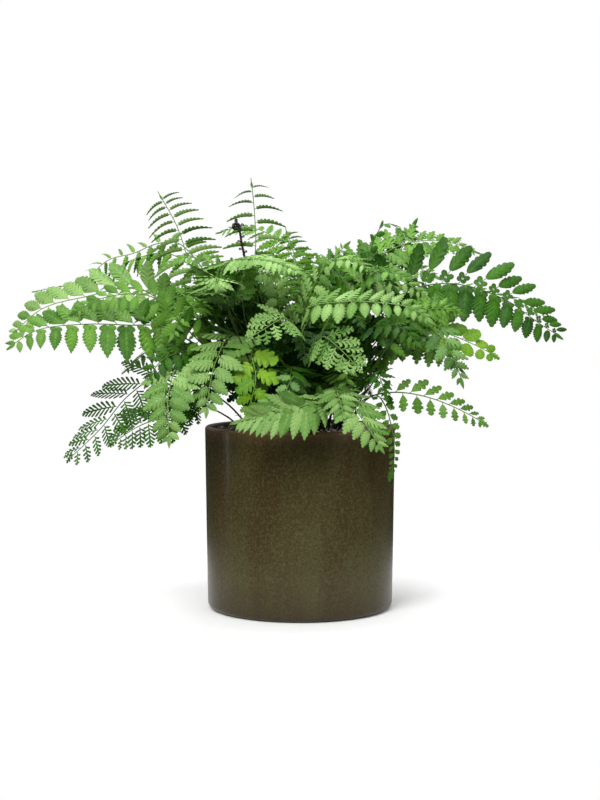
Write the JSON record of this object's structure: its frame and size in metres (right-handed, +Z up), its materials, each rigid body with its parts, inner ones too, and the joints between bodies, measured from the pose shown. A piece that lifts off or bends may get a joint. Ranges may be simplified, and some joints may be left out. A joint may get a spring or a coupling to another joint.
{
  "type": "potted parvati mother fern",
  "caption": "Arching crown of toothed and lacy fern fronds rooted in soil in a glazed ceramic cylinder pot with a flat foot.",
  "frame": {"origin": "centre of the flat underside of the pot, on the surface that it stands on", "axes": "+Z up along the axis of the pot; -Y is the front, the side that the camera sees; +X to its right"},
  "size_m": [0.5713, 0.3704, 0.453],
  "materials": {
    "glaze": "gloss",
    "soil": "matte",
    "leaf_light": "satin",
    "leaf_mid": "satin",
    "leaf_dark": "satin",
    "leaf_yellow": "satin",
    "leaf_grey": "satin",
    "leaf_young": "satin"
  },
  "bodies": {
    "root": {"crozier_back": "leaf_young", "crozier_front": "leaf_young", "frond_back_01": "leaf_dark", "frond_back_02": "leaf_mid", "frond_back_03": "leaf_dark", "frond_back_04": "leaf_mid", "frond_back_05": "leaf_dark", "frond_back_06": "leaf_mid", "frond_back_07": "leaf_dark", "frond_back_08": "leaf_mid", "frond_back_09": "leaf_dark", "frond_back_10": "leaf_mid", "frond_back_11": "leaf_dark", "frond_back_arch": "leaf_mid", "frond_back_left_low": "leaf_mid", "frond_blue_round": "leaf_grey", "frond_centre_bright": "leaf_light", "frond_centre_low": "leaf_dark", "frond_centre_right_low": "leaf_dark", "frond_comb_centre": "leaf_light", "frond_comb_left": "leaf_light", "frond_far_left_thin": "leaf_mid", "frond_front_left_long": "leaf_light", "frond_front_left_short": "leaf_light", "frond_lacy_front": "leaf_light", "frond_lacy_front_left": "leaf_light", "frond_lacy_left_lower": "leaf_dark", "frond_lacy_left_upper": "leaf_dark", "frond_left_inner": "leaf_dark", "frond_left_main": "leaf_mid", "frond_left_upper": "leaf_light", "frond_low_01": "leaf_dark", "frond_low_02": "leaf_mid", "frond_low_03": "leaf_dark", "frond_low_04": "leaf_mid", "frond_low_05": "leaf_dark", "frond_mid_left": "leaf_mid", "frond_mid_right": "leaf_mid", "frond_mid_top": "leaf_light", "frond_over_rim_left": "leaf_light", "frond_over_rim_right": "leaf_light", "frond_right_behind": "leaf_mid", "frond_right_grey": "leaf_grey", "frond_right_hang": "leaf_mid", "frond_right_inner": "leaf_dark", "frond_right_low": "leaf_mid", "frond_right_main": "leaf_dark", "frond_right_round": "leaf_yellow", "frond_right_upper": "leaf_light", "frond_right_upright": "leaf_mid", "frond_small_front": "leaf_mid", "frond_top_left": "leaf_mid", "frond_top_small": "leaf_mid", "frond_top_tip": "leaf_mid", "frond_trailing": "leaf_mid", "frond_umbrella_left": "leaf_light", "frond_umbrella_right": "leaf_light", "frond_yellow_front": "leaf_yellow", "pot": "glaze", "soil": "soil"}
  },
  "joints": []
}
